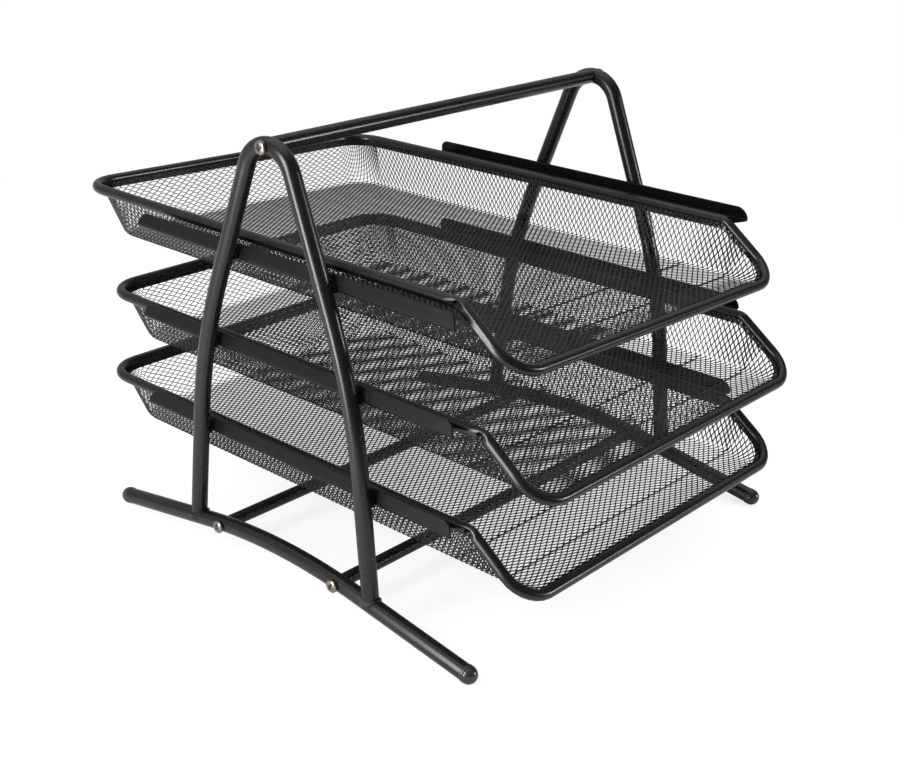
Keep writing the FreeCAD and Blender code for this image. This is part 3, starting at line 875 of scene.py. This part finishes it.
def screwSeats():
    places, turns = [], []
    for y, z in screw["places"]:
        for side in sides.values():
            spin = math.radians(screw["turns"][len(turns)])
            places.append((side * screw["seatX"], screw["middle"] + y, z))
            turns.append((spin, 0, math.pi if side < 0 else 0))
    seats = bpy.data.meshes.new("screwSeats")
    seats.from_pydata(places, [], [])
    pointValues(seats, "turn", "FLOAT_VECTOR", turns)
    made = bpy.data.objects.new("frameScrews", seats)
    bpy.context.scene.collection.objects.link(made)
    return made


def screwTree():
    group = bpy.data.node_groups.new("screwSet", "GeometryNodeTree")
    treeInput(group, "Seats", "NodeSocketGeometry")
    names = {
        "model": treeInput(group, "Screw", "NodeSocketObject"),
        "size": treeInput(group, "Size", "NodeSocketFloat", 1.0),
        "steel": treeInput(group, "Steel", "NodeSocketMaterial"),
    }
    group.interface.new_socket(name="Screws", in_out="OUTPUT", socket_type="NodeSocketGeometry")
    tree = Tree(group)
    given = group.nodes.new("NodeGroupInput")
    seats, one, size, steel = (
        Socket(tree, given.outputs[n]) for n in ("Seats", "Screw", "Size", "Steel"))
    shape = tree.add("GeometryNodeObjectInfo", None, {"Object": one}, "Geometry")
    angle = tree.add("FunctionNodeEulerToRotation", None, {
        "Euler": tree.named("turn", "FLOAT_VECTOR")})
    placed = tree.add("GeometryNodeInstanceOnPoints", None, {
        "Points": seats, "Instance": shape, "Rotation": angle, "Scale": size})
    whole = tree.add("GeometryNodeRealizeInstances", None, {"Geometry": placed})
    plated = tree.add("GeometryNodeSetMaterial", None, {"Geometry": whole, "Material": steel})
    out = group.nodes.new("NodeGroupOutput")
    group.links.new(plated.output, out.inputs["Screws"])
    return group, names


oneScrew, screws = screwModel(), screwSeats()
screwGroup, screwInputs = screwTree()
grown(screws, screwGroup, {
    screwInputs["model"]: oneScrew, screwInputs["size"]: 1.0, screwInputs["steel"]: screwSteel})
bpy.data.objects.remove(oneScrew)
finishPiece(screws, "stand", "screw_steel", "frame_screws")
print("screws:", len(screws.data.polygons), "faces")

# finishes of the carried-over nodes

nodeCoats = {
    "frame_tube": frameCoat, "foot_tube": frameCoat, "handle_bar": frameCoat, "crossbar": frameCoat,
    "welds": frameCoat, "inserts": insertSteel,
}
for name, node in nodes.items():
    coat = next((c for part, c in nodeCoats.items() if part in name), None)
    if coat:
        node.data.materials.clear()
        node.data.materials.append(coat)

# table, light and camera

studio = {
    "floorSize": 8.0, "floorShade": 0.25,   # how much of the table's own shading the camera sees
    "shadeReach": (0.35, 0.95),             # it fades out between these distances
    "floorTone": 0.50, "floorEnd": 0.04,    # the table's lit tone near the stand, and out in front
    "floorTurn": (-0.26, -0.55),            # where along Y it goes from one to the other
    "cloudScale": 3.0, "cloudShift": 0.04,  # and how unevenly
    "worldWhite": 1.0, "worldSoft": 1.5, "worldFill": 0.42, "worldDark": 0.05,
    "darkSide": (0.087, -0.996, 0.0), "darkTurn": (0.02, 0.38),
    # name: place, target, size across and up, watts, colour
    "lamps": {
        "keySoftbox": (
            (-0.62, 0.0, 0.29), (-0.12, 0.0, 0.27), (0.17, 0.54), 4.5, (1.0, 0.99, 0.98)),
        "frontSoftbox": (
            (1.84, -2.49, 0.70), (0.1, -0.05, 0.25), (0.55, 0.45), 28, (1.0, 0.98, 0.95)),
        "topSoftbox": ((0.1, 0.3, 2.1), (0, 0, 0), (2.4, 2.4), 11, (1.0, 1.0, 1.0)),
    },
}


def tablePlane():
    half = studio["floorSize"] / 2
    material, tree = newMaterial("tableTop")
    corners = [(-half, -half, 0), (half, -half, 0), (half, half, 0), (-half, half, 0)]
    made = meshObject("table", corners, [[0, 1, 2, 3]], material, False)
    place = tree.add("ShaderNodeTexCoord", output="Object")
    frontward = tree.add("ShaderNodeSeparateXYZ", None, {"Vector": place}, "Y")
    cloud = tree.add("ShaderNodeTexNoise", None, {"Vector": place, "Scale": studio["cloudScale"]})
    near, far = studio["floorTurn"]
    away = tree.add("ShaderNodeMapRange", {"interpolation_type": "SMOOTHSTEP"}, {
        "Value": frontward + studio["cloudShift"] * cloud, "From Min": near, "From Max": far})
    tone = tree.blend(away, (studio["floorTone"],) * 3, (studio["floorEnd"],) * 3)
    seen = tree.add("ShaderNodeLightPath", output="Is Camera Ray")
    lit = tree.add("ShaderNodeBsdfDiffuse", None, {"Color": tree.blend(seen, tone, (1, 1, 1))})
    glow = tree.add("ShaderNodeEmission", None, {"Color": (1, 1, 1, 1), "Strength": 1.0})
    reach = tree.add("ShaderNodeVectorMath", {"operation": "LENGTH"}, {0: place}, "Value")
    near, far = studio["shadeReach"]
    shade = tree.add("ShaderNodeMapRange", {"interpolation_type": "SMOOTHSTEP"}, {
        "Value": reach, "From Min": near, "From Max": far,
        "To Min": studio["floorShade"], "To Max": 0.0})
    whole = tree.add("ShaderNodeMixShader", None, {0: seen * (1 - shade), 1: lit, 2: glow})
    tree.add("ShaderNodeOutputMaterial", None, {"Surface": whole})


def studioWorld():  # white to camera and matt faces, a pale room with a dark front to shiny ones
    world = bpy.data.worlds.new("studioWorld")
    bpy.context.scene.world = world
    world.use_nodes = True
    tree = Tree(world.node_tree)
    ray = tree.add("ShaderNodeTexCoord", output="Generated")
    front = tree.add("ShaderNodeVectorMath", {"operation": "DOT_PRODUCT"}, {
        0: ray, 1: studio["darkSide"]}, "Value")
    start, end = studio["darkTurn"]
    room = tree.add("ShaderNodeMapRange", {"interpolation_type": "SMOOTHSTEP"}, {
        "Value": front, "From Min": start, "From Max": end,
        "To Min": studio["worldFill"], "To Max": studio["worldDark"]})
    seen = tree.add("ShaderNodeLightPath", output="Is Camera Ray")
    seen = (seen + tree.add("ShaderNodeLightPath", output="Is Transmission Ray")).above(0.5)
    soft = tree.add("ShaderNodeLightPath", output="Is Diffuse Ray")
    strength = (seen * studio["worldWhite"] + soft * studio["worldSoft"]
                + (1 - (seen + soft).above(0.5)) * room)
    light = tree.add("ShaderNodeBackground", None, {"Color": (1, 1, 1, 1), "Strength": strength})
    tree.add("ShaderNodeOutputWorld", None, {"Surface": light})


def softboxes():
    for name, (place, target, size, watts, colour) in studio["lamps"].items():
        lamp = bpy.data.lights.new(name, "AREA")
        lamp.shape = "RECTANGLE"
        lamp.size, lamp.size_y = size
        lamp.energy = watts
        lamp.color = colour
        made = bpy.data.objects.new(name, lamp)
        bpy.context.scene.collection.objects.link(made)
        made.location = place
        made.rotation_euler = (Vector(target) - Vector(place)).to_track_quat("-Z", "Y").to_euler()


cameraSet = {  # metres, degrees and pixels, with the sensor in millimetres
    "place": (-0.63611, -0.57973, 0.44422), "yaw": 42.7175, "pitch": 21.9794, "roll": -0.7321,
    "focal": 1430.962, "centre": (421.2258, 362.8331), "picture": (904, 768), "sensor": 36.0,
}


def studioCamera():
    c = cameraSet
    yaw, pitch, roll = (math.radians(c[k]) for k in ("yaw", "pitch", "roll"))
    level = math.cos(pitch)
    ahead = Vector((level * math.cos(yaw), level * math.sin(yaw), -math.sin(pitch)))
    right = Vector((math.sin(yaw), -math.cos(yaw), 0))
    down = ahead.cross(right)
    across = math.cos(roll) * right + math.sin(roll) * down
    up = math.sin(roll) * right - math.cos(roll) * down
    lens = bpy.data.cameras.new("studioCamera")
    wide, tall = c["picture"]
    lens.sensor_fit, lens.sensor_width = "HORIZONTAL", c["sensor"]
    lens.lens = c["focal"] / wide * c["sensor"]
    lens.shift_x = (wide / 2 - c["centre"][0]) / wide
    lens.shift_y = (c["centre"][1] - tall / 2) / wide
    lens.clip_start, lens.clip_end = 0.02, 50
    made = bpy.data.objects.new("studioCamera", lens)
    bpy.context.scene.collection.objects.link(made)
    turned = Matrix((across, up, -ahead)).transposed().to_4x4()
    turned.translation = Vector(c["place"])
    made.matrix_world = turned
    bpy.context.scene.camera = made


tablePlane()
studioWorld()
softboxes()
studioCamera()
bpy.context.scene.view_settings.view_transform = "Standard"
print("studio set")
